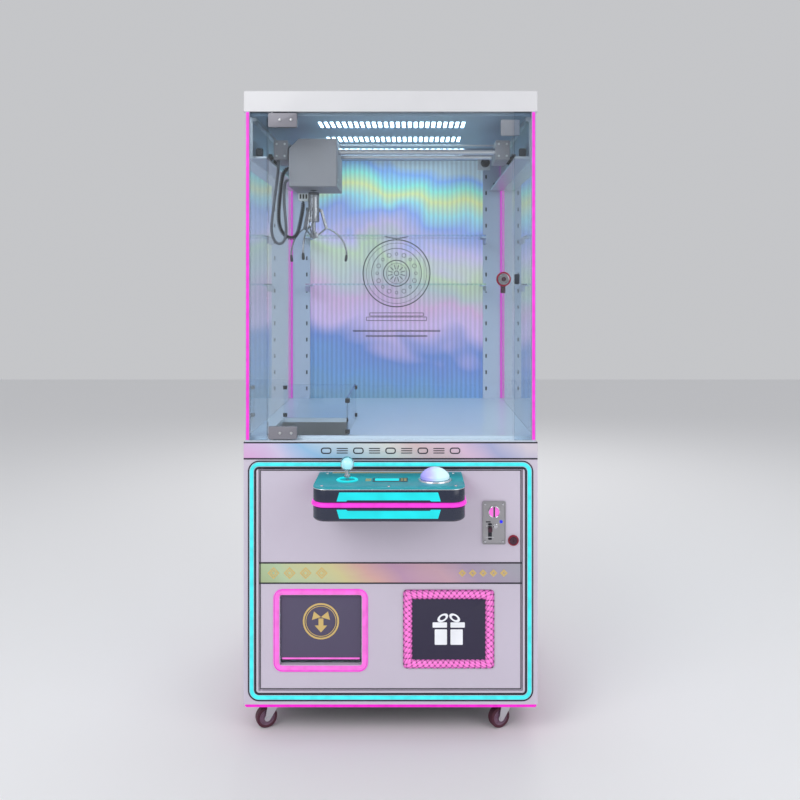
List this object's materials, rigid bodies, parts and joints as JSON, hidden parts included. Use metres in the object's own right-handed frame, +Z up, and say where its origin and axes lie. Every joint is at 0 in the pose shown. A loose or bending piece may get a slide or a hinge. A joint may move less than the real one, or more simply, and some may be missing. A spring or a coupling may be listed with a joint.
{
  "type": "claw crane machine",
  "caption": "Free-standing arcade claw crane machine: glazed play area with a three-axis gantry and three-finger claw, prize chute, control box and coin acceptor on a cabinet with casters.",
  "frame": {"origin": "on the floor, midway between the front of the control box and the back of the cabinet, and midway between the sides", "axes": "+Z up, -Y out of the front, +X to the right of someone facing the front"},
  "size_m": [0.842, 1.05, 1.85],
  "materials": {
    "iridescent": "holographic film on a white board",
    "painted_steel": "black powder coat",
    "grey_steel": "grey powder coat",
    "white_metal": "white powder coat",
    "zinc": "zinc plate",
    "ceiling_grey": "blue-grey satin face on board",
    "clear_acrylic": "polished clear acrylic",
    "chrome": "bright chrome",
    "black_cord": "soft black cord jacket",
    "cast_metal": "cast and tumbled",
    "board": "green circuit board",
    "navy_plastic": "dark navy gloss",
    "teal_acrylic": "back-printed acrylic",
    "satin_metal": "satin",
    "glass": "clear toughened glass",
    "pink_light": "lit pink diffuser",
    "lavender_panel": "pale lavender laminate on board",
    "braid": "braided line",
    "clear_plastic": "clear ball on a steel shaft",
    "black_plastic": "moulded",
    "cyan_light": "lit diffuser",
    "white_laminate": "white laminate on board",
    "red_plastic": "red rocker",
    "flap_plastic": "tinted acrylic",
    "button_plastic": "milky dome",
    "grey_hose": "grey sheath",
    "caster_tyre": "dark red-brown tyre"
  },
  "bodies": {
    "cabinet": {"back_panel": "iridescent", "base_tray": "painted_steel", "cabinet_posts": "white_metal", "caster_plates": "zinc", "ceiling_panel": "ceiling_grey", "chute_guard": "clear_acrylic", "coin_box": "zinc", "control_board": "board", "door_catches": "zinc", "fixed_glass": "glass", "front_frame": "lavender_panel", "glass_shelves": "glass", "light_strips": "cyan_light", "playfield_deck": "white_laminate", "power_inlet": "black_plastic", "power_supply": "satin_metal", "prize_chute": "zinc", "rear_frame": "lavender_panel", "roof_cap": "white_laminate", "side_panels": "lavender_panel", "side_rails": "satin_metal"},
    "glass_door": {"door_glass": "glass", "door_fittings": "satin_metal"},
    "glass_door_lock": {"door_lock": "chrome"},
    "front_door": {"front_door": "lavender_panel", "door_neon": "pink_light", "gift_window": "pink_light", "control_box": "navy_plastic", "control_top": "teal_acrylic", "coin_acceptor": "cast_metal"},
    "front_lock": {"front_lock": "chrome"},
    "prize_flap": {"prize_flap": "flap_plastic"},
    "joystick_gimbal": {"joystick_gimbal": "black_plastic"},
    "joystick": {"joystick": "clear_plastic"},
    "push_button": {"push_button": "button_plastic"},
    "coin_return_lever": {"coin_return_lever": "cast_metal"},
    "rear_door": {"rear_door": "lavender_panel"},
    "power_switch": {"power_switch": "red_plastic"},
    "bridge": {"bridge": "grey_steel", "supply_hose": "grey_hose"},
    "carriage": {"carriage": "grey_steel", "hoist_cord": "braid", "claw_cord": "black_cord"},
    "winch_drum": {"winch_drum": "black_plastic"},
    "claw_coil": {"claw_coil": "chrome"},
    "claw_plunger": {"claw_plunger": "chrome"},
    "caster_fork_front_left": {"caster_fork_front_left": "zinc"},
    "caster_wheel_front_left": {"caster_wheel_front_left": "caster_tyre"},
    "caster_fork_front_right": {"caster_fork_front_right": "zinc"},
    "caster_wheel_front_right": {"caster_wheel_front_right": "caster_tyre"},
    "caster_fork_rear_left": {"caster_fork_rear_left": "zinc"},
    "caster_wheel_rear_left": {"caster_wheel_rear_left": "caster_tyre"},
    "caster_fork_rear_right": {"caster_fork_rear_right": "zinc"},
    "caster_wheel_rear_right": {"caster_wheel_rear_right": "caster_tyre"},
    "claw_finger_1": {"claw_finger_1": "chrome"},
    "claw_link_1": {"claw_link_1": "chrome"},
    "claw_finger_2": {"claw_finger_2": "chrome"},
    "claw_link_2": {"claw_link_2": "chrome"},
    "claw_finger_3": {"claw_finger_3": "chrome"},
    "claw_link_3": {"claw_link_3": "chrome"}
  },
  "joints": [
    {"name": "glass_door_hinge", "type": "hinge", "parent": "cabinet", "child": "glass_door", "pos_m": [-0.34, -0.327, 1.3], "axis": [0, 0, -1], "range_deg": [0, 100]},
    {"name": "glass_door_lock_turn", "type": "hinge", "parent": "glass_door", "child": "glass_door_lock", "pos_m": [0.323, -0.327, 1.311], "axis": [0, -1, 0], "range_deg": [0, 90]},
    {"name": "front_door_hinge", "type": "hinge", "parent": "cabinet", "child": "front_door", "pos_m": [-0.369, -0.328, 0.45], "axis": [0, 0, -1], "range_deg": [0, 100]},
    {"name": "front_lock_turn", "type": "hinge", "parent": "front_door", "child": "front_lock", "pos_m": [0.351, -0.332, 0.564], "axis": [0, -1, 0], "range_deg": [0, 90]},
    {"name": "prize_flap_swing", "type": "hinge", "parent": "front_door", "child": "prize_flap", "pos_m": [-0.2, -0.323, 0.401], "axis": [1, 0, 0], "range_deg": [0, 75]},
    {"name": "joystick_pitch", "type": "hinge", "parent": "front_door", "child": "joystick_gimbal", "pos_m": [-0.116, -0.432, 0.742], "axis": [1, 0, 0], "range_deg": [-15, 15], "stiffness_Nm_per_rad": 0.6},
    {"name": "joystick_roll", "type": "hinge", "parent": "joystick_gimbal", "child": "joystick", "pos_m": [-0.116, -0.432, 0.742], "axis": [0, 1, 0], "range_deg": [-15, 15], "stiffness_Nm_per_rad": 0.6},
    {"name": "push_button_press", "type": "slide", "parent": "front_door", "child": "push_button", "axis": [0, 0, -1], "range_m": [0, 0.004], "stiffness_N_per_m": 350},
    {"name": "coin_return_press", "type": "slide", "parent": "front_door", "child": "coin_return_lever", "axis": [0, 0, -1], "range_m": [0, 0.008], "stiffness_N_per_m": 80},
    {"name": "rear_door_hinge", "type": "hinge", "parent": "cabinet", "child": "rear_door", "pos_m": [0.369, 0.521, 0.45], "axis": [0, 0, -1], "range_deg": [0, 110]},
    {"name": "power_switch_rock", "type": "hinge", "parent": "cabinet", "child": "power_switch", "pos_m": [0.398, 0.516, 0.26], "axis": [1, 0, 0], "range_deg": [0, 14]},
    {"name": "caster_swivel_front_left", "type": "hinge", "parent": "cabinet", "child": "caster_fork_front_left", "pos_m": [-0.341, -0.26, 0.07], "axis": [0, 0, 1], "continuous": true},
    {"name": "caster_roll_front_left", "type": "hinge", "parent": "caster_fork_front_left", "child": "caster_wheel_front_left", "pos_m": [-0.36638, -0.27183, 0.031], "axis": [0.4226, -0.9063, 0], "continuous": true},
    {"name": "caster_swivel_front_right", "type": "hinge", "parent": "cabinet", "child": "caster_fork_front_right", "pos_m": [0.341, -0.26, 0.07], "axis": [0, 0, 1], "continuous": true},
    {"name": "caster_roll_front_right", "type": "hinge", "parent": "caster_fork_front_right", "child": "caster_wheel_front_right", "pos_m": [0.31562, -0.27183, 0.031], "axis": [0.4226, -0.9063, 0], "continuous": true},
    {"name": "caster_swivel_rear_left", "type": "hinge", "parent": "cabinet", "child": "caster_fork_rear_left", "pos_m": [-0.341, 0.45, 0.07], "axis": [0, 0, 1], "continuous": true},
    {"name": "caster_roll_rear_left", "type": "hinge", "parent": "caster_fork_rear_left", "child": "caster_wheel_rear_left", "pos_m": [-0.36731, 0.45958, 0.031], "axis": [-0.342, -0.9397, 0], "continuous": true},
    {"name": "caster_swivel_rear_right", "type": "hinge", "parent": "cabinet", "child": "caster_fork_rear_right", "pos_m": [0.341, 0.45, 0.07], "axis": [0, 0, 1], "continuous": true},
    {"name": "caster_roll_rear_right", "type": "hinge", "parent": "caster_fork_rear_right", "child": "caster_wheel_rear_right", "pos_m": [0.31327, 0.4539, 0.031], "axis": [-0.1392, -0.9903, 0], "continuous": true},
    {"name": "bridge_travel", "type": "slide", "parent": "cabinet", "child": "bridge", "axis": [0, 1, 0], "range_m": [-0.02, 0.34]},
    {"name": "carriage_travel", "type": "slide", "parent": "bridge", "child": "carriage", "axis": [1, 0, 0], "range_m": [0, 0.46], "deforming": ["supply_hose"]},
    {"name": "winch_turn", "type": "hinge", "parent": "carriage", "child": "winch_drum", "pos_m": [-0.243, -0.1187, 1.655], "axis": [-1, 0, 0], "range_deg": [0, 1320]},
    {"name": "claw_hoist", "type": "slide", "parent": "carriage", "child": "claw_coil", "axis": [0, 0, -1], "range_m": [0, 0.47], "deforming": ["hoist_cord", "claw_cord"]},
    {"name": "plunger_pull", "type": "slide", "parent": "claw_coil", "child": "claw_plunger", "axis": [0, 0, 1], "range_m": [0, 0.028]},
    {"name": "finger_close_1", "type": "hinge", "parent": "claw_plunger", "child": "claw_finger_1", "pos_m": [-0.23452, -0.137, 1.446], "axis": [-0.3338, 0.9426, 0], "range_deg": [0, 38.62]},
    {"name": "link_swing_1", "type": "hinge", "parent": "claw_coil", "child": "claw_link_1", "pos_m": [-0.22038, -0.13199, 1.527], "axis": [0.3338, -0.9426, 0], "range_deg": [0, 11.13]},
    {"name": "finger_close_2", "type": "hinge", "parent": "claw_plunger", "child": "claw_finger_2", "pos_m": [-0.24984, -0.13415, 1.446], "axis": [-0.6494, -0.7604, 0], "range_deg": [0, 38.62]},
    {"name": "link_swing_2", "type": "hinge", "parent": "claw_coil", "child": "claw_link_2", "pos_m": [-0.26125, -0.12441, 1.527], "axis": [0.6494, 0.7604, 0], "range_deg": [0, 11.13]},
    {"name": "finger_close_3", "type": "hinge", "parent": "claw_plunger", "child": "claw_finger_3", "pos_m": [-0.24464, -0.14885, 1.446], "axis": [0.9833, -0.1822, 0], "range_deg": [0, 38.62]},
    {"name": "link_swing_3", "type": "hinge", "parent": "claw_coil", "child": "claw_link_3", "pos_m": [-0.24737, -0.1636, 1.527], "axis": [-0.9833, 0.1822, 0], "range_deg": [0, 11.13]}
  ],
  "couplings": [
    {"joint": "winch_turn", "follows": "claw_hoist", "rad_per_m": 47.619},
    {"joint": "finger_close_1", "follows": "plunger_pull", "rad_per_m": 23.449},
    {"joint": "link_swing_1", "follows": "plunger_pull", "rad_per_m": 6.3152},
    {"joint": "finger_close_2", "follows": "plunger_pull", "rad_per_m": 23.449},
    {"joint": "link_swing_2", "follows": "plunger_pull", "rad_per_m": 6.3152},
    {"joint": "finger_close_3", "follows": "plunger_pull", "rad_per_m": 23.449},
    {"joint": "link_swing_3", "follows": "plunger_pull", "rad_per_m": 6.3152}
  ]
}
